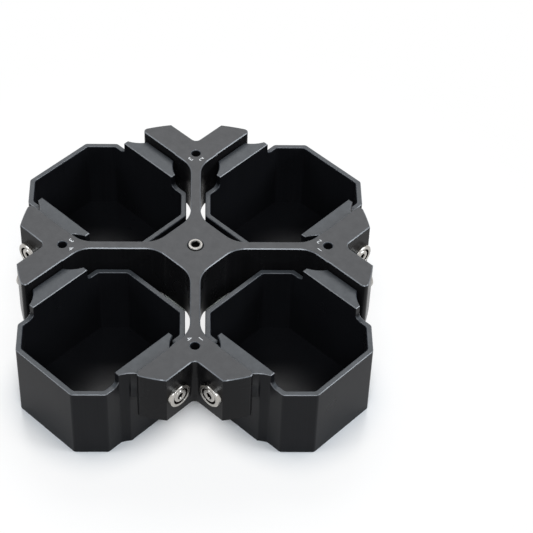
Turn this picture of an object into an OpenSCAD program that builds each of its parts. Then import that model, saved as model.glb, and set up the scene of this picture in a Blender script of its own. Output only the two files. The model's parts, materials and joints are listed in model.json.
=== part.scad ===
// Swing-out rotor: a four-armed cross that carries four octagonal buckets on trunnion pins.
// The origin is the mouth of the drive bore, +Z is up along the rotor's axis, and the four
// pockets point along +X, +Y, -X and -Y.

/* [Rotor cross] */
// Distance from a trunnion axis out to the tip of its prongs
tip_reach = 21.1; // [17:0.1:26]
// Height of the cross
cross_h = 40.5; // [34:0.5:50]
// Thickness of each arm
arm_t = 6.8; // [5:0.2:10]
// Distance from the rotor's axis to the flat hub face in each pocket
hub_face_r = 20.9; // [19:0.1:24]
// Radius between a hub face and an arm
hub_fillet_r = 19; // [10:1:22]
// Gap between an arm and the corner chamfer of a bucket that hangs beside it
arm_gap = 3.3; // [2.5:0.1:6]
// Radius between an arm and a fork face
fork_fillet_r = 18; // [10:1:20]
// Thickness of each fork prong
prong_t = 19.4; // [17:0.2:20]
// Radius at the bottom of the notch between two prongs
notch_fillet_r = 4; // [2:0.5:6]
// Radius on the inner tip corner of each prong
tip_fillet_r = 3; // [1:0.5:5]
// Depth of the machined relief on the outer part of each fork face
relief_d = 0.4; // [0.2:0.1:0.8]
// Distance from a trunnion axis inwards to the step where its relief begins
relief_in = 13.9; // [12:0.1:16]
// Distance from a lifting hole's axis to the fork faces on both sides of it
lift_hole_in = 11.2; // [9:0.1:13]
// Diameter of the lifting holes
lift_hole_d = 6; // [4:0.5:8]
// Depth of the lifting holes
lift_hole_depth = 16; // [10:1:24]

/* [Trunnions] */
// Diameter of a trunnion pin's head, which carries the bucket
head_d = 18; // [14:0.2:18.4]
// Height by which a head stands out of the full fork face
head_stand = 4.7; // [3.5:0.1:5.5]
// Chamfer on the end of a head
head_chamfer = 0.6; // [0.2:0.1:1]
// Diameter of a pin's shank
shank_d = 10; // [9:0.5:12]
// Diameter of the counterbore in the notch face
cbore_d = 14.4; // [13:0.2:15.6]
// Depth of that counterbore
cbore_depth = 5; // [3:0.5:7]
// Diameter of the flange that retains the pin
flange_d = 17.2; // [16.2:0.2:18]
// Thickness of the flange's disc
flange_t = 3.4; // [3.2:0.1:4.5]
// Chamfer round the flange's outer face
flange_chamfer = 0.5; // [0.2:0.1:0.8]
// Radial play of the flange's neck in the counterbore
neck_play = 0.15; // [0.05:0.05:0.4]
// Gap between the end of the neck and the end of the pin's shank
neck_end_gap = 0.4; // [0.2:0.1:1]
// Radial gap between the screw head and the flange's cup
cup_gap = 1.2; // [0.6:0.1:1.6]
// Depth of the screw head's top below the flange's outer face
screw_sink = 0.2; // [0:0.1:0.5]

/* [Screws] */
// Diameter of every screw's head
screw_head_d = 10; // [9:0.2:10.6]
// Height of a trunnion screw's head
pin_screw_head_h = 2.6; // [2:0.1:3.5]
// Thread diameter of the trunnion screws
pin_screw_d = 6; // [5:0.5:6]
// Length of thread in the pin
pin_screw_grip = 10; // [6:1:12]
// Thread diameter of the central clamp screw
clamp_d = 6; // [5:0.5:7]
// Height of the clamp screw's head
clamp_head_h = 6; // [5:0.5:8]
// Height by which the clamp screw stands out of the hub
clamp_stand = 1; // [0.4:0.1:2]
// Length of the clamp screw below its head
clamp_l = 19.5; // [18:0.5:20]
// Width across the flats of the clamp screw's hexagon socket
clamp_hex_af = 5; // [4:0.5:6]
// Depth of that socket
clamp_hex_depth = 3.4; // [2:0.1:4]
// Width across the flats of the trunnion screws' hexagon sockets
pin_hex_af = 4; // [3:0.5:5]
// Depth of those sockets
pin_hex_depth = 1.8; // [1:0.1:2.2]
// Width of the chamfer round the mouth of a socket
hex_chamfer = 0.6; // [0.2:0.1:0.8]
// Chamfer round the top of a screw head
head_edge = 0.5; // [0.2:0.1:0.8]
// Radial play round a screw and its head
screw_play = 0.25; // [0.1:0.05:0.4]

/* [Hub] */
// Diameter of the drive bore
bore_d = 16; // [12:0.5:18]
// Length of the drive bore
bore_l = 18; // [12:1:18]
// Depth that the bore's sleeve reaches up into the cross
sleeve_depth = 24; // [22:1:26]
// Outer diameter of the sleeve
sleeve_d = 26; // [22:1:30]
// Radial step from the bore to the relief above it
bore_relief = 0.6; // [0.3:0.1:1.5]
// Diameter of the ring under the hub
ring_d = 45; // [38:1:48]
// Thickness of that ring
ring_h = 3.2; // [2:0.1:5]
// Width and height of the step in the ring's lower edge
ring_step = 0.8; // [0.4:0.1:1.2]

/* [Buckets] */
// Length of a bucket, measured along the radius
bucket_l = 102.2; // [90:0.2:120]
// Width of a bucket between its two flat trunnion sides
bucket_w = 85; // [75:0.5:95]
// Height of a bucket from its bottom to its rim
bucket_h = 59.3; // [45:0.5:62]
// Length cut off each side by the corner chamfers
bucket_chamfer = 16; // [15:0.5:18]
// Outer radius on the eight upright edges
bucket_edge_r = 3; // [1:0.5:5]
// Wall thickness
wall_t = 3.6; // [2.5:0.1:4.5]
// Floor thickness
floor_t = 4; // [3:0.5:6]
// Chamfer round the bottom
bottom_chamfer = 1.2; // [0.5:0.1:2]
// Height of the rim above the trunnion axis
rim_rise = 3.4; // [2:0.1:6]
// Height of the two tabs above the rim
tab_h = 10.2; // [8:0.1:13]
// Length of each tab at the wall
tab_l = 48; // [46:0.5:50]
// Radius at the foot of the tabs
tab_foot_r = 4.5; // [2:0.5:6]
// Radius on the top corners of the tabs
tab_corner_r = 2; // [1:0.5:3]
// Length of a trunnion block's front face
block_l = 26.6; // [25:0.2:28]
// Distance by which a trunnion block stands out from the bucket's side
block_out = 8.9; // [7:0.1:11]
// Distance from the trunnion axis down to the bottom of the block
block_drop = 10.3; // [8:0.1:13]
// Radius of the hollow flanks of the blocks
flank_r = 23; // [20:1:40]
// Play between a block and the full fork face
block_play = 0.5; // [0.4:0.05:1]
// Gap between a pin's end and the floor of its slot
slot_end_gap = 1; // [0.5:0.1:1.5]
// Radial running clearance between a pin and its slot
slot_clearance = 0.08; // [0.03:0.01:0.1]
// Diameter of the drilled mark on the floor of a slot
mark_d = 2.4; // [1:0.1:3]
// Distance from the trunnion axis down to that mark
mark_drop = 7.8; // [5:0.1:8]

/* [Hidden] */
$fn = 96;

black_anodised = [0.16, 0.16, 0.17];
black_steel = [0.09, 0.09, 0.085];
stainless = [0.78, 0.76, 0.72];
cream = [0.88, 0.88, 0.82];

eps = 0.01;                // overshoot of cuts
pockets = 4;               // pockets, and so arms and buckets
drill_point = 118;         // angle of a drilled hole's end
drill_flat = 0.15;         // chisel edge of the drill, as a share of its diameter

cross_z = ring_h;                          // underside of the cross
top_z = cross_z + cross_h;                 // its top face
trunnion_z = cross_z + cross_h / 2;        // height of the trunnion axes

block_face = bucket_w / 2 + block_out;     // front of a trunnion block
fork_face = block_face + block_play;       // full fork face, from the pocket's centre line
relief_face = fork_face + relief_d;        // relieved fork face
notch_face = fork_face + prong_t;          // outer face of a prong
arm_skew = arm_t / sqrt(2);                // arm thickness seen along X or Y
bucket_inner = bucket_w / 2 - bucket_chamfer + (arm_t / 2 + arm_gap) * sqrt(2);
trunnion_r = bucket_inner + bucket_l / 2;  // from the rotor's axis to a trunnion axis
rotor_r = norm([trunnion_r + tip_reach, fork_face]);
lift_hole_r = (fork_face + lift_hole_in) * sqrt(2);
beyond = rotor_r + 10;                     // a length that reaches past every tip

head_l = head_stand + relief_d;            // a pin's head, from the relieved face
shank_l = notch_face - relief_face - cbore_depth;
thread_depth = pin_screw_grip + 1;
cup_depth = pin_screw_head_h + screw_sink;

clamp_seat_z = top_z + clamp_stand - clamp_head_h;
sleeve_l = ring_h + sleeve_depth;

slot_floor = fork_face - head_stand - slot_end_gap;
slot_r = head_d / 2 + slot_clearance;
tab_top = rim_rise + tab_h;
bucket_bottom = rim_rise - bucket_h;

// --- plane geometry -------------------------------------------------------------------

function unit(v) = v / norm(v);
// Half of the corner angle at p, between the directions to a and b
function half_corner(a, p, b) = acos(unit(a - p) * unit(b - p)) / 2;
// Distance from corner p to where a fillet of radius r touches its sides
function setback(a, p, b, r) = r / tan(half_corner(a, p, b));

// Convex polygon whose corners carry true arcs of the given radii
module rounded_polygon(points, radii) {
    n = len(points);
    polygon([for (i = [0 : n - 1])
        let (a = points[(i + n - 1) % n], p = points[i], b = points[(i + 1) % n],
             back = setback(a, p, b, radii[i]))
        each back > 0 ? [p + unit(a - p) * back, p + unit(b - p) * back] : [p]]);
    for (i = [0 : n - 1])
        if (radii[i] > 0) {
            a = points[(i + n - 1) % n];
            p = points[i];
            b = points[(i + 1) % n];
            to_centre = radii[i] / sin(half_corner(a, p, b));
            translate(p + unit(unit(a - p) + unit(b - p)) * to_centre) circle(radii[i]);
        }
}

// Octagon with sides lx and ly and corner chamfers c
module octagon(lx, ly, c, r) {
    x = lx / 2;
    y = ly / 2;
    rounded_polygon([[x, -y + c], [x, y - c], [x - c, y], [-x + c, y],
                     [-x, y - c], [-x, -y + c], [-x + c, -y], [x - c, -y]],
                    [for (i = [1 : 8]) r]);
}

module each_pocket() {
    for (k = [0 : pockets - 1]) rotate(k * 360 / pockets) children();
}

// Both prongs of one pocket: local +Z runs from the relieved fork face into the prong
module each_prong_axis() {
    for (side = [0, 1]) prong_axis(side) children();
}

module prong_axis(side) {
    mirror([0, side, 0]) translate([trunnion_r, relief_face, trunnion_z])
        rotate([-90, 0, 0]) children();
}

// --- rotor cross ----------------------------------------------------------------------

// Plan of the space between two arms, open outwards
module pocket_plan() {
    inner = [hub_face_r, hub_face_r - arm_skew];
    outer = [fork_face + arm_skew, fork_face];
    rounded_polygon([[inner[0], -inner[1]], [outer[0], -outer[1]], [beyond, -fork_face],
                     [beyond, fork_face], outer, inner],
                    [hub_fillet_r, fork_fillet_r, 0, 0, fork_fillet_r, hub_fillet_r]);
    for (side = [0, 1]) mirror([0, side]) {
        translate([trunnion_r - relief_in, 0]) square([beyond, relief_face]);
        tip_corner();
    }
}

// What the tip fillet takes off the corner between the relieved fork face and the rim
module tip_corner() {
    centre = [sqrt(pow(rotor_r - tip_fillet_r, 2) - pow(relief_face + tip_fillet_r, 2)),
              relief_face + tip_fillet_r];
    rim_point = unit(centre) * rotor_r;
    difference() {
        polygon([[centre[0], relief_face], [beyond, relief_face],
                 rim_point * (beyond / rotor_r), rim_point]);
        translate(centre) circle(tip_fillet_r);
    }
}

// Plan of the notch between the two prongs of one arm
module notch_plan() {
    rounded_polygon([[notch_face, notch_face], [beyond, notch_face],
                     [beyond, beyond], [notch_face, beyond]],
                    [notch_fillet_r, 0, 0, 0]);
}

module cross_plan() {
    difference() {
        circle(rotor_r, $fn = 240);
        each_pocket() {
            pocket_plan();
            notch_plan();
        }
    }
}

// Hole for a pin's shank and the counterbore for its flange
module trunnion_hole() {
    translate([0, 0, -1]) cylinder(d = shank_d, h = shank_l + 2);
    translate([0, 0, shank_l]) cylinder(d = cbore_d, h = cbore_depth + 1);
}

// Drilled hole with the drill's conical end and the small flat of its chisel edge
module lifting_hole() {
    r = lift_hole_d / 2;
    flat_r = r * drill_flat;
    end = -lift_hole_depth - (r - flat_r) / tan(drill_point / 2);
    rotate_extrude()
        polygon([[0, 1], [r, 1], [r, -lift_hole_depth], [flat_r, end], [0, end]]);
}

module rotor_body() {
    color(black_anodised) difference() {
        translate([0, 0, cross_z]) linear_extrude(cross_h) cross_plan();
        each_pocket() {
            each_prong_axis() trunnion_hole();
            rotate(45) translate([lift_hole_r, 0, top_z]) lifting_hole();
        }
        cylinder(d = sleeve_d, h = sleeve_l);
        cylinder(r = clamp_d / 2 + screw_play, h = top_z + 1);
        translate([0, 0, clamp_seat_z])
            cylinder(r = screw_head_d / 2 + screw_play, h = clamp_head_h + 1);
    }
}

// --- hub ------------------------------------------------------------------------------

module drive_sleeve() {
    color(stainless) difference() {
        cylinder(d = sleeve_d, h = sleeve_l);
        translate([0, 0, -1]) cylinder(d = bore_d, h = sleeve_l + 2);
        translate([0, 0, bore_l]) cylinder(d = bore_d + 2 * bore_relief, h = sleeve_l);
    }
}

module id_ring() {
    color(cream) rotate_extrude()
        polygon([[sleeve_d / 2, 0], [ring_d / 2 - ring_step, 0],
                 [ring_d / 2 - ring_step, ring_step], [ring_d / 2, ring_step],
                 [ring_d / 2, ring_h], [sleeve_d / 2, ring_h]]);
}

// --- screws ---------------------------------------------------------------------------

// Socket screw with its head from z = 0 upwards and its shank below
module socket_screw(shank, length, head_h, hex_af, hex_depth) {
    r = screw_head_d / 2;
    mouth_r = hex_af / 2 + hex_chamfer;
    difference() {
        rotate_extrude()
            polygon([[0, -length], [shank / 2, -length], [shank / 2, 0], [r, 0],
                     [r, head_h - head_edge], [r - head_edge, head_h], [0, head_h]]);
        translate([0, 0, head_h - hex_depth])
            cylinder(r = hex_af / sqrt(3), h = hex_depth + 1, $fn = 6);
        translate([0, 0, head_h - hex_chamfer])
            cylinder(r1 = hex_af / 2, r2 = mouth_r + hex_chamfer, h = 2 * hex_chamfer);
    }
}

module clamp_screw() {
    color(stainless) translate([0, 0, clamp_seat_z])
        socket_screw(clamp_d, clamp_l, clamp_head_h, clamp_hex_af, clamp_hex_depth);
}

module pin_screws() {
    seat = cbore_depth + flange_t - cup_depth;
    color(stainless) each_pocket() each_prong_axis()
        translate([0, 0, shank_l + seat])
            socket_screw(pin_screw_d, seat + pin_screw_grip, pin_screw_head_h,
                         pin_hex_af, pin_hex_depth);
}

// --- trunnions ------------------------------------------------------------------------

// Pin k of 0 to 3, side 0 or 1: the head stands in the pocket, the shank fills the prong
module trunnion_pin(k, side) {
    color(black_steel) rotate(k * 360 / pockets) prong_axis(side) difference() {
        rotate_extrude()
            polygon([[0, -head_l], [head_d / 2 - head_chamfer, -head_l],
                     [head_d / 2, -head_l + head_chamfer], [head_d / 2, 0],
                     [shank_d / 2, 0], [shank_d / 2, shank_l], [0, shank_l]]);
        translate([0, 0, shank_l - thread_depth])
            cylinder(d = pin_screw_d, h = thread_depth + 1);
    }
}

// Flange that clamps the pin from the notch: a neck in the counterbore, and a disc that
// seats on the notch face and takes the screw head in its cup
module flange(k, side) {
    bore_r = pin_screw_d / 2 + screw_play;
    neck_r = cbore_d / 2 - neck_play;
    cup_r = screw_head_d / 2 + cup_gap;
    rim_r = flange_d / 2;
    color(stainless) rotate(k * 360 / pockets) prong_axis(side)
        translate([0, 0, shank_l + cbore_depth]) rotate_extrude()
            polygon([[bore_r, neck_end_gap - cbore_depth],
                     [neck_r, neck_end_gap - cbore_depth], [neck_r, 0], [rim_r, 0],
                     [rim_r, flange_t - flange_chamfer], [rim_r - flange_chamfer, flange_t],
                     [cup_r, flange_t], [cup_r, flange_t - cup_depth],
                     [bore_r, flange_t - cup_depth]]);
}

// --- buckets --------------------------------------------------------------------------
// A bucket is drawn about its trunnion axis: X along the rotor's radius, Y along the axis.

// Plan of a trunnion block on the +Y side, with hollow flanks, out to the given Y
module block_plan(face_y) {
    root = [tab_l / 2, bucket_w / 2];
    corner = [block_l / 2, block_face];
    chord = root - corner;
    half = norm(chord) / 2;
    across = unit([-chord[1], chord[0]]);
    centre = (root + corner) / 2 + across * sqrt(flank_r * flank_r - half * half);
    intersection() {
        difference() {
            polygon([[-root[0], root[1] - wall_t], [root[0], root[1] - wall_t], root,
                     corner, [-corner[0], corner[1]], [-root[0], root[1]]]);
            for (side = [0, 1]) mirror([side, 0]) translate(centre) circle(flank_r);
        }
        translate([-tab_l, 0]) square([2 * tab_l, face_y]);
    }
}

// Rim line of a trunnion wall, seen along Y: the rim with one tab standing on it
module tab_profile() {
    x = tab_l / 2;
    difference() {
        translate([-x - tab_foot_r, rim_rise - 1])
            square([2 * (x + tab_foot_r), tab_foot_r + 1]);
        for (side = [0, 1]) mirror([side, 0])
            translate([x + tab_foot_r, rim_rise + tab_foot_r]) circle(tab_foot_r);
    }
    rounded_polygon([[-x, rim_rise - 1], [x, rim_rise - 1], [x, tab_top], [-x, tab_top]],
                    [0, 0, tab_corner_r, tab_corner_r]);
}

// Slot that hangs on a pin head: a round seat about the trunnion axis, open below
module pin_slot() {
    rotate([-90, 0, 0]) translate([0, 0, slot_floor]) {
        cylinder(r = slot_r, h = head_l + block_play + slot_end_gap);
        translate([-slot_r, 0, 0])
            cube([2 * slot_r, block_drop + 1, head_l + block_play + slot_end_gap]);
        translate([0, mark_drop, -mark_d / 4])
            cylinder(d1 = mark_d * drill_flat, d2 = mark_d, h = mark_d / 4 + eps);
    }
}

// Wedge that chamfers one bottom edge: the edge's distance from the middle, and its bearing
module bottom_edge_cut(distance, bearing) {
    rotate(bearing) translate([distance - bottom_chamfer, 0, bucket_bottom])
        rotate([0, 45, 0]) translate([0, -bucket_l / 2, -bucket_l])
            cube([bucket_l, bucket_l, bucket_l]);
}

// Octagonal body of the bucket, still solid
module bucket_block() {
    corner_distance = (bucket_l / 2 + bucket_w / 2 - bucket_chamfer) / sqrt(2);
    difference() {
        translate([0, 0, bucket_bottom]) linear_extrude(bucket_h)
            octagon(bucket_l, bucket_w, bucket_chamfer, bucket_edge_r);
        for (bearing = [0, 180]) bottom_edge_cut(bucket_l / 2, bearing);
        for (bearing = [90, 270]) bottom_edge_cut(bucket_w / 2, bearing);
        for (bearing = [45 : 90 : 315]) bottom_edge_cut(corner_distance, bearing);
    }
}

// Trunnion side on +Y: the bump down to the bottom, the block with its slot, and the tab
module trunnion_side() {
    difference() {
        union() {
            difference() {
                translate([0, 0, bucket_bottom]) linear_extrude(bucket_h)
                    block_plan(slot_floor);
                bottom_edge_cut(slot_floor, 90);
            }
            translate([0, 0, -block_drop]) linear_extrude(block_drop + tab_top)
                block_plan(block_face);
            translate([0, bucket_w / 2, 0]) rotate([90, 0, 0])
                linear_extrude(wall_t) tab_profile();
        }
        pin_slot();
    }
}

module bucket() {
    inner_chamfer = bucket_chamfer - wall_t * (2 - sqrt(2));
    difference() {
        union() {
            bucket_block();
            for (side = [0, 1]) mirror([0, side, 0]) trunnion_side();
        }
        translate([0, 0, bucket_bottom + floor_t]) linear_extrude(bucket_h + tab_h)
            octagon(bucket_l - 2 * wall_t, bucket_w - 2 * wall_t, inner_chamfer,
                    bucket_edge_r);
    }
}

module hung_bucket(k) {
    color(black_anodised) rotate(k * 360 / pockets)
        translate([trunnion_r, 0, trunnion_z]) bucket();
}

rotor_body();
drive_sleeve();
id_ring();
clamp_screw();
pin_screws();
trunnion_pin(0, 0);  // pin_1a
trunnion_pin(0, 1);  // pin_1b
trunnion_pin(1, 0);  // pin_2a
trunnion_pin(1, 1);  // pin_2b
trunnion_pin(2, 0);  // pin_3a
trunnion_pin(2, 1);  // pin_3b
trunnion_pin(3, 0);  // pin_4a
trunnion_pin(3, 1);  // pin_4b
flange(0, 0);  // flange_1a
flange(0, 1);  // flange_1b
flange(1, 0);  // flange_2a
flange(1, 1);  // flange_2b
flange(2, 0);  // flange_3a
flange(2, 1);  // flange_3b
flange(3, 0);  // flange_4a
flange(3, 1);  // flange_4b
hung_bucket(0);  // bucket_1
hung_bucket(1);  // bucket_2
hung_bucket(2);  // bucket_3
hung_bucket(3);  // bucket_4
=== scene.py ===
"""Looks of the swing-out rotor: finishes, fine chamfers, pocket numbers, floor, light, camera."""

import json
import math

import bmesh
import bpy
from mathutils import Matrix, Vector


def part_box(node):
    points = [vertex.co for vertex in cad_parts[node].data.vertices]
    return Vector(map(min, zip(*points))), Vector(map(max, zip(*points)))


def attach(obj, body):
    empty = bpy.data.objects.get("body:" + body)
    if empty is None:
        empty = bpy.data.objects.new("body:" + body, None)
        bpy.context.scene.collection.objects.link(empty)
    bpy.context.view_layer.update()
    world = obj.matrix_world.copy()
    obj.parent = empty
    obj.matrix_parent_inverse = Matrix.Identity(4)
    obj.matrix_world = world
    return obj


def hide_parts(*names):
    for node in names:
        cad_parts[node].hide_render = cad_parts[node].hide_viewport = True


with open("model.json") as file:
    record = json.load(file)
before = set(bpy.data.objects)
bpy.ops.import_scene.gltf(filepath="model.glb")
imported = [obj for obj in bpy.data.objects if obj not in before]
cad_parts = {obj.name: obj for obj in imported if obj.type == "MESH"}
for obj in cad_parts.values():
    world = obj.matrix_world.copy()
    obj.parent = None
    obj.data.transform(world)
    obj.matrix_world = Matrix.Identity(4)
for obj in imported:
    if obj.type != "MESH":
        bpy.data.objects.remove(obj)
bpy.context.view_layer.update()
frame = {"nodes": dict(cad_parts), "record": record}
nodes = frame["nodes"]

MM = 0.001
POCKETS = 4
PRONG_SIDES = "ab"
RIM_Z = 26.85 * MM          # height of the buckets' rims at rest

# --- helpers, and places taken from the frame --------------------------------------------


def frame_mount(name):
    return next(mount for mount in frame["record"]["mounts"] if mount["name"] == name)


def add_object(name, data):
    """A new object, linked to the scene."""
    added = bpy.data.objects.new(name, data)
    bpy.context.scene.collection.objects.link(added)
    return added


def away_from_hub(azimuth, elevation):
    """Direction away from the hub, from angles in degrees. Azimuth 0 is along -Y."""
    turn = math.radians(azimuth)
    rise = math.radians(elevation)
    return Vector((math.sin(turn) * math.cos(rise), -math.cos(turn) * math.cos(rise),
                   math.sin(rise)))


TOP_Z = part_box("rotor_body")[1].z
HOLE_RADIUS = frame_mount("lifting_holes")["dims"]["pcd_mm"] / 2 * MM
FLOOR_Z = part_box("bucket_1")[0].z
HUB = Vector((0, 0, TOP_Z))

# --- camera, as the photograph has it ----------------------------------------------------

PHOTO_SIZE = 533            # pixels, both ways
HUB_PIXEL = (195.5, 245.0)  # where the middle of the hub's top face lies
FOCAL_PIXELS = 1963
CAMERA_DISTANCE = 1.320
CAMERA_ELEVATION = 46.3
CAMERA_AZIMUTH = 45.1       # the near arm points at the camera
CAMERA_ROLL = -0.19
SENSOR_WIDTH = 36

# --- finishes ----------------------------------------------------------------------------

CROSS_SIDE = (0.0060, 0.0058, 0.0062)
# Painted sheen: the cross's level tops are painted paler, standing for the overhead light's
# reflection.
CROSS_TOP_SHEEN = (0.0570, 0.0575, 0.0600)
# Painted highlight: the chamfers' colour is brighter and bluer than the walls', standing for the
# light they catch.
CROSS_EDGE_HIGHLIGHT = (0.060, 0.070, 0.085)
BUCKET_SIDE = (0.0065, 0.0066, 0.0076)
# Painted sheen on the buckets' level tops, as on the cross.
BUCKET_TOP_SHEEN = (0.066, 0.071, 0.077)
# Painted highlight on the buckets' chamfers, as on the cross.
BUCKET_EDGE_HIGHLIGHT = (0.050, 0.056, 0.068)
PIN_BLACK = (0.012, 0.012, 0.010)
STAINLESS = (0.47, 0.45, 0.42)
CLAMP_STEEL = (0.175, 0.169, 0.160)
# Painted shade: the dark colour put into sockets and narrow gaps.
SOCKET_PAINTED_SHADE = (0.015, 0.014, 0.013)
CREAM = (0.74, 0.76, 0.68)
ENGRAVING = (0.62, 0.63, 0.64)

SHEEN_LEVEL = 0.08
EDGE_SHEEN_LEVEL = 1.0
GLOSS_SPREAD = 0.03         # how far the roughness of the blasted tops wanders
EDGE_RADIUS = 0.3 * MM      # of the edges that only the shader softens
RECESS_REACH = 7 * MM       # how near a facing wall must be for a recess to get painted shade
CLAMP_MOUTH_SHADE = (0.59, 0.66)  # distances between which the painted shade inside the clamp screw's socket fades out

# Sizes of the patterns, in features per metre.
CLOUDS = 35
MILLING = 900
TOP_MOTTLE = 160
ANODISED_GRAIN = 2600
EDGE_WEAR = 400
STEEL_STAINS = 180
STEEL_GRAIN = 3000
PLASTIC_MOTTLE = 120
PLASTIC_GRAIN = 1800
ENGRAVING_WEAR = 900

MILLING_ALONG_Z = 0.015     # the milling's size along Z as a share of MILLING: upright marks
RING_PITCH = 0.02           # of the turning rings, as a share of a piece's width
SHALLOW = 0.02 * MM         # depths of the marks
DEEPER = 0.03 * MM

CROSS_CHAMFER = 0.55 * MM
BUCKET_CHAMFER = 0.45 * MM
SHARP = math.radians(30)
FLAT = math.radians(0.5)
WELD = 0.02 * MM            # vertices of the solids that lie nearer than this are one
SAME_PLACE = 0.001 * MM     # tolerances on the chamfered copy
SAME_HEIGHT = 0.01 * MM
LOOKS_UP = 0.3              # least upward share of the normal of a face on the outline


def new_material(name):
    """A material with its node tree, Principled shader and object-space coordinates."""
    material = bpy.data.materials.new(name)
    material.use_nodes = True
    tree = material.node_tree
    shader = tree.nodes["Principled BSDF"]
    coords = tree.nodes.new("ShaderNodeTexCoord")
    return material, tree, shader, coords.outputs["Object"]


def noise(tree, coords, scale, detail=4.0, roughness=0.6):
    """Noise texture whose scale is features per metre."""
    node = tree.nodes.new("ShaderNodeTexNoise")
    node.inputs["Scale"].default_value = scale
    node.inputs["Detail"].default_value = detail
    node.inputs["Roughness"].default_value = roughness
    tree.links.new(coords, node.inputs["Vector"])
    return node.outputs["Fac"]


def remap(tree, value, low, high, from_low=0.3, from_high=0.7):
    """Brings a value to the range low to high. Noise stays near one half, as the defaults say."""
    node = tree.nodes.new("ShaderNodeMapRange")
    node.inputs["From Min"].default_value = from_low
    node.inputs["From Max"].default_value = from_high
    node.inputs["To Min"].default_value = low
    node.inputs["To Max"].default_value = high
    tree.links.new(value, node.inputs["Value"])
    return node.outputs["Result"]


def times(colour, share):
    """A colour made darker or lighter by one factor."""
    return tuple(share * channel for channel in colour)


def product(tree, first, second):
    """Two values multiplied."""
    node = tree.nodes.new("ShaderNodeMath")
    node.operation = "MULTIPLY"
    tree.links.new(first, node.inputs[0])
    tree.links.new(second, node.inputs[1])
    return node.outputs["Value"]


def mixed_colour(tree, factor, first, second):
    """Colour between two others. Each may be a colour or a socket."""
    node = tree.nodes.new("ShaderNodeMix")
    node.data_type = "RGBA"
    tree.links.new(factor, node.inputs["Factor"])
    for socket, colour in ((node.inputs["A"], first), (node.inputs["B"], second)):
        if isinstance(colour, tuple):
            socket.default_value = (*colour, 1)
        else:
            tree.links.new(colour, socket)
    return node.outputs["Result"]


def bump(tree, height, strength, distance, normal=None):
    """The normal that a height gives, on top of another normal if there is one."""
    node = tree.nodes.new("ShaderNodeBump")
    node.inputs["Strength"].default_value = strength
    node.inputs["Distance"].default_value = distance
    tree.links.new(height, node.inputs["Height"])
    if normal is not None:
        tree.links.new(normal, node.inputs["Normal"])
    return node.outputs["Normal"]


def rounded_edges(tree, radius):
    """The normal of a fine edge break, and a mask that is 1 on it and 0 on the faces."""
    bevel = tree.nodes.new("ShaderNodeBevel")
    bevel.samples = 6
    bevel.inputs["Radius"].default_value = radius
    surface = tree.nodes.new("ShaderNodeNewGeometry")
    dot = tree.nodes.new("ShaderNodeVectorMath")
    dot.operation = "DOT_PRODUCT"
    tree.links.new(bevel.outputs["Normal"], dot.inputs[0])
    tree.links.new(surface.outputs["Normal"], dot.inputs[1])
    mask = remap(tree, dot.outputs["Value"], 1, 0, from_low=0.86, from_high=0.99)
    return bevel.outputs["Normal"], mask


def facing_up(tree, coords, lowest):
    """1 on level faces above a height of the object's own, and 0 on its walls and floor."""
    normal = tree.nodes.new("ShaderNodeTexCoord").outputs["Normal"]
    split_normal = tree.nodes.new("ShaderNodeSeparateXYZ")
    tree.links.new(normal, split_normal.inputs["Vector"])
    level = remap(tree, split_normal.outputs["Z"], 0, 1, from_low=0.4, from_high=0.8)
    split_place = tree.nodes.new("ShaderNodeSeparateXYZ")
    tree.links.new(coords, split_place.inputs["Vector"])
    high = remap(tree, split_place.outputs["Z"], 0, 1, from_low=lowest - MM, from_high=lowest)
    return product(tree, level, high)


def stretched(tree, coords, along_z):
    """Coordinates that change slowly along Z, for marks that run up and down."""
    node = tree.nodes.new("ShaderNodeMapping")
    node.inputs["Scale"].default_value = (1, 1, along_z)
    tree.links.new(coords, node.inputs["Vector"])
    return node.outputs["Vector"]


def anodised_metal(name, base, roughness, top=None, top_from=0, top_roughness=0.4):
    """Dyed anodised aluminium: glossy milled walls, and blasted level faces on top painted paler
    as a painted sheen.
    """
    material, tree, shader, coords = new_material(name)
    clouds = noise(tree, coords, CLOUDS, detail=3)
    milling = noise(tree, stretched(tree, coords, MILLING_ALONG_Z), MILLING, detail=3)
    colour = mixed_colour(tree, remap(tree, clouds, 0, 1), base, times(base, 1.25))
    colour = mixed_colour(tree, remap(tree, milling, 0, 0.5), colour, times(base, 1.8))
    gloss = remap(tree, clouds, roughness - 0.03, roughness + 0.04)
    if top:
        # Painted sheen: level faces on top get a paler colour, standing for the light from above;
        # their roughness also rises as a blasted finish.
        on_top = facing_up(tree, coords, top_from)
        mottle = remap(tree, noise(tree, coords, TOP_MOTTLE, detail=8, roughness=0.8), 0, 1)
        painted_top_sheen = mixed_colour(tree, mottle, top, times(top, 0.75))
        colour = mixed_colour(tree, on_top, colour, painted_top_sheen)
        blasted = tree.nodes.new("ShaderNodeMix")
        tree.links.new(on_top, blasted.inputs["Factor"])
        tree.links.new(gloss, blasted.inputs["A"])
        rough = remap(tree, mottle, top_roughness - GLOSS_SPREAD, top_roughness + GLOSS_SPREAD,
                      from_low=0, from_high=1)
        tree.links.new(rough, blasted.inputs["B"])
        gloss = blasted.outputs["Result"]
    tree.links.new(colour, shader.inputs["Base Color"])
    tree.links.new(gloss, shader.inputs["Roughness"])
    milled = bump(tree, milling, strength=0.15, distance=SHALLOW)
    grain = noise(tree, coords, ANODISED_GRAIN, detail=2)
    grained = bump(tree, grain, strength=0.25, distance=DEEPER, normal=milled)
    tree.links.new(grained, shader.inputs["Normal"])
    shader.inputs["Specular IOR Level"].default_value = SHEEN_LEVEL
    return material


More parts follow.
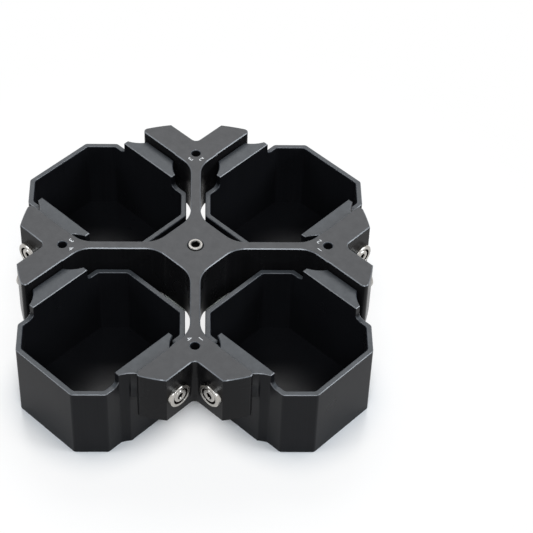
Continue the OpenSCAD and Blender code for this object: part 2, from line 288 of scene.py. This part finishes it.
def cut_edge(name, base, roughness):
    """The fine chamfers: smoother than the faces beside them, and painted brighter as a painted
    highlight.
    """
    material, tree, shader, coords = new_material(name)
    wear = remap(tree, noise(tree, coords, EDGE_WEAR, detail=5), 0, 1)
    tree.links.new(mixed_colour(tree, wear, base, times(base, 0.6)),
                   shader.inputs["Base Color"])
    shader.inputs["Roughness"].default_value = roughness
    shader.inputs["Specular IOR Level"].default_value = EDGE_SHEEN_LEVEL
    return material


def in_recess(tree, reach):
    """Mask for painted shade: 1 deep in sockets and narrow gaps, and 0 on open faces."""
    node = tree.nodes.new("ShaderNodeAmbientOcclusion")
    node.samples = 8
    node.only_local = True
    node.inputs["Distance"].default_value = reach
    return remap(tree, node.outputs["AO"], 1, 0, from_low=0.55, from_high=0.95)


def from_middle(tree):
    """Distance from the middle of a piece, as a share of the piece's own box."""
    generated = tree.nodes.new("ShaderNodeTexCoord").outputs["Generated"]
    centred = tree.nodes.new("ShaderNodeVectorMath")
    centred.operation = "SUBTRACT"
    centred.inputs[1].default_value = (0.5, 0.5, 0.5)
    tree.links.new(generated, centred.inputs[0])
    radius = tree.nodes.new("ShaderNodeVectorMath")
    radius.operation = "LENGTH"
    tree.links.new(centred.outputs["Vector"], radius.inputs[0])
    return radius.outputs["Value"]


def turning_rings(tree, pitch):
    """Uneven rings about the middle of a piece."""
    rings = tree.nodes.new("ShaderNodeTexNoise")
    rings.noise_dimensions = "1D"
    rings.inputs["Scale"].default_value = 1 / pitch
    rings.inputs["Detail"].default_value = 2
    tree.links.new(from_middle(tree), rings.inputs["W"])
    return rings.outputs["Fac"]


def turned_steel(name, base, roughness, mouth=None):
    """Turned steel: fine rings, faint stains, soft edges with a painted highlight, and painted
    shade in sockets and gaps.

    A mouth gives the distances from the middle between which the painted shade inside a socket
    fades out.
    """
    material, tree, shader, coords = new_material(name)
    edge_normal, edge_highlight_mask = rounded_edges(tree, EDGE_RADIUS)
    stains = noise(tree, coords, STEEL_STAINS, detail=5)
    tint = mixed_colour(tree, remap(tree, stains, 0, 1), base, times(base, 0.82))
    # Painted highlight: the soft edges are painted a little lighter than the steel beside them.
    stained_and_painted_light = mixed_colour(tree, edge_highlight_mask, tint, times(base, 1.15))
    if mouth:
        # Painted shade: inside the inner distance the socket's mouth is painted dark, to 0.35 of
        # the steel's colour.
        mouth_shade_mask = remap(tree, from_middle(tree), 0, 1, *mouth)
        stained_and_painted_light = mixed_colour(tree, mouth_shade_mask, times(base, 0.35), stained_and_painted_light)
    # Painted shade: sockets and narrow gaps are painted dark through an occlusion mask.
    tree.links.new(mixed_colour(tree, in_recess(tree, RECESS_REACH), stained_and_painted_light, SOCKET_PAINTED_SHADE),
                   shader.inputs["Base Color"])
    tree.links.new(remap(tree, stains, roughness - 0.05, roughness + 0.08),
                   shader.inputs["Roughness"])
    turned = bump(tree, turning_rings(tree, RING_PITCH), strength=0.35, distance=SHALLOW,
                  normal=edge_normal)
    grain = noise(tree, coords, STEEL_GRAIN, detail=3)
    grained = bump(tree, grain, strength=0.2, distance=SHALLOW, normal=turned)
    tree.links.new(grained, shader.inputs["Normal"])
    shader.inputs["Metallic"].default_value = 1
    return material


def moulded_plastic(name, base, roughness):
    """Matt plastic with a faint mottle and soft edges."""
    material, tree, shader, coords = new_material(name)
    edge_normal, _ = rounded_edges(tree, EDGE_RADIUS)
    mottle = noise(tree, coords, PLASTIC_MOTTLE)
    tree.links.new(mixed_colour(tree, remap(tree, mottle, 0, 1), base, times(base, 0.94)),
                   shader.inputs["Base Color"])
    tree.links.new(remap(tree, mottle, roughness - 0.04, roughness + 0.04),
                   shader.inputs["Roughness"])
    grain = noise(tree, coords, PLASTIC_GRAIN)
    grained = bump(tree, grain, strength=0.15, distance=DEEPER, normal=edge_normal)
    tree.links.new(grained, shader.inputs["Normal"])
    return material


def finish(node, material):
    """Gives a CAD node its one material."""
    nodes[node].data.materials.clear()
    nodes[node].data.materials.append(material)


def on_outline(edge, lowest):
    """True for an outward corner beside a face that looks up, or beside the underside."""
    if edge.calc_face_angle_signed(0) < SHARP:
        return False
    highest_vertex = max(vertex.co.z for vertex in edge.verts)
    underside = highest_vertex < lowest + SAME_HEIGHT
    return underside or any(face.normal.z > LOOKS_UP for face in edge.link_faces)


def flatten_faces(piece):
    """Weights the normals by face, so that a flat beside a curve is shaded flat."""
    weighted = piece.modifiers.new("flatten", "WEIGHTED_NORMAL")
    weighted.keep_sharp = True
    graph = bpy.context.evaluated_depsgraph_get()
    mesh = bpy.data.meshes.new_from_object(piece.evaluated_get(graph))
    piece.modifiers.clear()
    piece.data = mesh


def chamfered(node, name, body, width, face_finish, edge_finish):
    """Replaces a CAD node by a copy whose upper and lower outlines have a fine chamfer."""
    work = bmesh.new()
    work.from_mesh(nodes[node].data)
    bmesh.ops.remove_doubles(work, verts=work.verts, dist=WELD)
    bmesh.ops.dissolve_limit(work, angle_limit=FLAT, verts=work.verts, edges=work.edges)
    lowest = min(vertex.co.z for vertex in work.verts)
    outlines = [edge for edge in work.edges if on_outline(edge, lowest)]
    bmesh.ops.bevel(work, geom=outlines, offset=width, offset_type="OFFSET", segments=1,
                    affect="EDGES", material=1)
    bmesh.ops.remove_doubles(work, verts=work.verts, dist=SAME_PLACE)
    mesh = bpy.data.meshes.new(name)
    work.to_mesh(mesh)
    work.free()
    mesh.shade_smooth()
    mesh.set_sharp_from_angle(angle=SHARP)
    mesh.materials.append(face_finish)
    mesh.materials.append(edge_finish)
    piece = add_object(name, mesh)
    flatten_faces(piece)
    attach(piece, body)
    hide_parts(node)


cross_finish = anodised_metal("cross_anodised", CROSS_SIDE, roughness=0.27,
                              top=CROSS_TOP_SHEEN, top_from=TOP_Z)
cross_edge = cut_edge("cross_edge", CROSS_EDGE_HIGHLIGHT, roughness=0.34)
bucket_finish = anodised_metal("bucket_anodised", BUCKET_SIDE, roughness=0.30,
                               top=BUCKET_TOP_SHEEN, top_from=RIM_Z)
bucket_edge = cut_edge("bucket_edge", BUCKET_EDGE_HIGHLIGHT, roughness=0.36)
pin_finish = anodised_metal("pin_blackened", PIN_BLACK, roughness=0.30)
steel_finish = turned_steel("stainless", STAINLESS, roughness=0.21)
clamp_finish = turned_steel("clamp_steel", CLAMP_STEEL, roughness=0.45, mouth=CLAMP_MOUTH_SHADE)
ring_finish = moulded_plastic("cream_plastic", CREAM, roughness=0.5)

chamfered("rotor_body", "cross", body="rotor",
          width=CROSS_CHAMFER, face_finish=cross_finish, edge_finish=cross_edge)
finish("id_ring", ring_finish)
finish("clamp_screw", clamp_finish)
for name in ("drive_sleeve", "pin_screws"):
    finish(name, steel_finish)
for pocket in range(1, POCKETS + 1):
    chamfered(f"bucket_{pocket}", f"bucket_shell_{pocket}", body=f"bucket_{pocket}",
              width=BUCKET_CHAMFER,
              face_finish=bucket_finish, edge_finish=bucket_edge)
    for side in PRONG_SIDES:
        finish(f"pin_{pocket}{side}", pin_finish)
        finish(f"flange_{pocket}{side}", steel_finish)

# --- pocket numbers beside the lifting holes -----------------------------------------------

DIGIT_HEIGHT = 3.6 * MM
DIGIT_INWARDS = 5.7 * MM    # from the lifting hole towards the hub
DIGIT_SIDEWAYS = 3.9 * MM   # from the arm's centre line
DIGIT_LIFT = 0.02 * MM
CAP_HEIGHT = 0.7            # of the built-in font, as a share of its size


def engraved_digit(name, pocket, place, material):
    """A thin digit on the cross's top face, read from outside the pocket that it numbers."""
    curve = bpy.data.curves.new(name, "FONT")
    curve.body = str(pocket)
    curve.size = DIGIT_HEIGHT / CAP_HEIGHT
    curve.align_x = "CENTER"
    curve.align_y = "CENTER"
    curve.extrude = DIGIT_LIFT / 2
    digit = add_object(name, curve)
    bearing = math.radians(90 * (pocket - 1))
    upright = Matrix.Rotation(bearing + math.radians(90), 4, "Z")
    digit.matrix_world = Matrix.Translation(place) @ upright
    curve.materials.append(material)
    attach(digit, "rotor")


def number_pockets(material):
    """Each arm carries the numbers of the two pockets beside it, next to its hole."""
    for arm in range(1, POCKETS + 1):
        bearing = math.radians(90 * arm - 45)
        out = Vector((math.cos(bearing), math.sin(bearing), 0))
        left = Vector((-out.y, out.x, 0))
        for pocket, side in ((arm, -1), (arm % POCKETS + 1, 1)):
            place = out * (HOLE_RADIUS - DIGIT_INWARDS) + left * side * DIGIT_SIDEWAYS
            place.z = TOP_Z + DIGIT_LIFT / 2
            engraved_digit(f"arm_{arm}_digit_{pocket}", pocket, place, material)


def engraving():
    """The white fill of the digits, with wear."""
    material, tree, shader, coords = new_material("engraving")
    wear = remap(tree, noise(tree, coords, ENGRAVING_WEAR), 0, 1)
    tree.links.new(mixed_colour(tree, wear, ENGRAVING, times(ENGRAVING, 0.8)),
                   shader.inputs["Base Color"])
    shader.inputs["Roughness"].default_value = 0.6
    return material


number_pockets(engraving())

# --- floor, light and camera ----------------------------------------------------------------

FLOOR_COLOUR = (0.90, 0.90, 0.90)
FLOOR_SIZE = 12.0
FLOOR_GAP = 0.2 * MM
FLOOR_LIFT = 0.84           # share of plain white mixed into the floor near the rotor
WHITE_FROM = 0.14           # radii between which the floor turns white
WHITE_BEYOND = 0.30
CONTACT_REACH = 30 * MM     # how far the shadow at the rotor's feet keeps its full depth

WORLD_DIFFUSE = 0.16        # brightness of the room as a light
WORLD_SEEN = 1.0            # and as the camera and the gloss see it
WHITE = (1, 1, 1)
COOL = (0.86, 0.93, 1.0)
SOFTBOXES = (               # name, bearing, elevation, distance, width, height, watts, colour
    ("back_softbox", 180, 49, 1.5, 0.85, 0.7, 21, WHITE),
    ("front_softbox", 0, 47, 1.9, 0.8, 0.5, 16, COOL),
    ("left_softbox", -79, 29, 1.7, 0.6, 0.6, 5, COOL),
    ("right_softbox", 79, 29, 1.7, 0.7, 0.7, 12, COOL),
)


def radial_fade(tree, coords, inner, outer):
    """0 within the inner radius of the object's origin, rising to 1 at the outer one."""
    distance = tree.nodes.new("ShaderNodeVectorMath")
    distance.operation = "LENGTH"
    tree.links.new(coords, distance.inputs[0])
    fade = tree.nodes.new("ShaderNodeMapRange")
    fade.interpolation_type = "SMOOTHSTEP"
    fade.inputs["From Min"].default_value = inner
    fade.inputs["From Max"].default_value = outer
    tree.links.new(distance.outputs["Value"], fade.inputs["Value"])
    return fade.outputs["Result"]


def seen_directly(tree):
    """1 for a ray from the camera, a gloss or a glass, and 0 for one that gathers light."""
    rays = tree.nodes.new("ShaderNodeLightPath")
    total = rays.outputs["Is Camera Ray"]
    for name in ("Is Glossy Ray", "Is Transmission Ray"):
        add = tree.nodes.new("ShaderNodeMath")
        add.operation = "MAXIMUM"
        tree.links.new(total, add.inputs[0])
        tree.links.new(rays.outputs[name], add.inputs[1])
        total = add.outputs["Value"]
    return total


def away_from_contact(tree):
    """0 on the floor close under the rotor, rising to 1 at a short distance from it."""
    node = tree.nodes.new("ShaderNodeAmbientOcclusion")
    node.samples = 16
    node.inputs["Distance"].default_value = CONTACT_REACH
    return remap(tree, node.outputs["AO"], 0, 1, from_low=0.5, from_high=0.92)


def floor():
    """Pale floor that keeps the rotor's shadow and runs out into plain white around it."""
    mesh = bpy.data.meshes.new("floor")
    side = FLOOR_SIZE / 2
    mesh.from_pydata([(-side, -side, 0), (side, -side, 0), (side, side, 0), (-side, side, 0)],
                     [], [(0, 1, 2, 3)])
    plane = add_object("floor", mesh)
    plane.location.z = FLOOR_Z - FLOOR_GAP
    material, tree, shader, coords = new_material("floor")
    shader.inputs["Base Color"].default_value = (*FLOOR_COLOUR, 1)
    shader.inputs["Roughness"].default_value = 0.9
    shader.inputs["Specular IOR Level"].default_value = 0.1
    white = tree.nodes.new("ShaderNodeEmission")
    white.inputs["Strength"].default_value = 1
    fade = radial_fade(tree, coords, WHITE_FROM, WHITE_BEYOND)
    lift = remap(tree, fade, FLOOR_LIFT, 1, from_low=0, from_high=1)
    open_lift = product(tree, lift, away_from_contact(tree))
    surface = tree.nodes.new("ShaderNodeMixShader")
    tree.links.new(product(tree, open_lift, seen_directly(tree)), surface.inputs["Fac"])
    tree.links.new(shader.outputs["BSDF"], surface.inputs[1])
    tree.links.new(white.outputs["Emission"], surface.inputs[2])
    tree.links.new(surface.outputs["Shader"], tree.nodes["Material Output"].inputs["Surface"])
    mesh.materials.append(material)


def softbox(name, bearing, elevation, distance, width, height, power, colour):
    """An area lamp aimed at the hub. Bearing is seen from above, 0 towards the camera."""
    away = away_from_hub(CAMERA_AZIMUTH + bearing, elevation)
    lamp = bpy.data.lights.new(name, "AREA")
    lamp.shape = "RECTANGLE"
    lamp.size = width
    lamp.size_y = height
    lamp.energy = power
    lamp.color = colour
    holder = add_object(name, lamp)
    holder.location = HUB + away * distance
    holder.rotation_euler = away.to_track_quat("Z", "Y").to_euler()


def world_light(diffuse, seen):
    """Dim light all round; the camera, gloss and glass see a white room."""
    world = bpy.data.worlds.new("studio")
    world.use_nodes = True
    tree = world.node_tree
    background = tree.nodes["Background"]
    background.inputs["Strength"].default_value = 1
    shade = tree.nodes.new("ShaderNodeMix")
    shade.data_type = "RGBA"
    shade.inputs["A"].default_value = (diffuse, diffuse, diffuse, 1)
    shade.inputs["B"].default_value = (seen, seen, seen, 1)
    tree.links.new(seen_directly(tree), shade.inputs["Factor"])
    tree.links.new(shade.outputs["Result"], background.inputs["Color"])
    bpy.context.scene.world = world


def camera():
    """Camera at the photograph's angle, turned so that the hub lies on its own pixel."""
    azimuth = math.radians(CAMERA_AZIMUTH)
    back = away_from_hub(CAMERA_AZIMUTH, CAMERA_ELEVATION)
    right = Vector((math.cos(azimuth), math.sin(azimuth), 0))
    up = back.cross(right)
    looking_at_hub = Matrix((right, up, back)).transposed()
    towards_hub = Vector((HUB_PIXEL[0] - PHOTO_SIZE / 2, PHOTO_SIZE / 2 - HUB_PIXEL[1],
                          -FOCAL_PIXELS)).normalized()
    swing = Vector((0, 0, -1)).rotation_difference(towards_hub).to_matrix()
    roll = Matrix.Rotation(math.radians(CAMERA_ROLL), 3, "Z")
    turn = looking_at_hub @ (swing @ roll).transposed()
    data = bpy.data.cameras.new("camera")
    data.sensor_fit = "HORIZONTAL"
    data.sensor_width = SENSOR_WIDTH
    data.lens = FOCAL_PIXELS / PHOTO_SIZE * SENSOR_WIDTH
    holder = add_object("camera", data)
    holder.matrix_world = Matrix.Translation(HUB + back * CAMERA_DISTANCE) @ turn.to_4x4()
    bpy.context.scene.camera = holder


floor()
world_light(WORLD_DIFFUSE, WORLD_SEEN)
for row in SOFTBOXES:
    softbox(*row)
camera()
bpy.context.scene.view_settings.view_transform = "Standard"
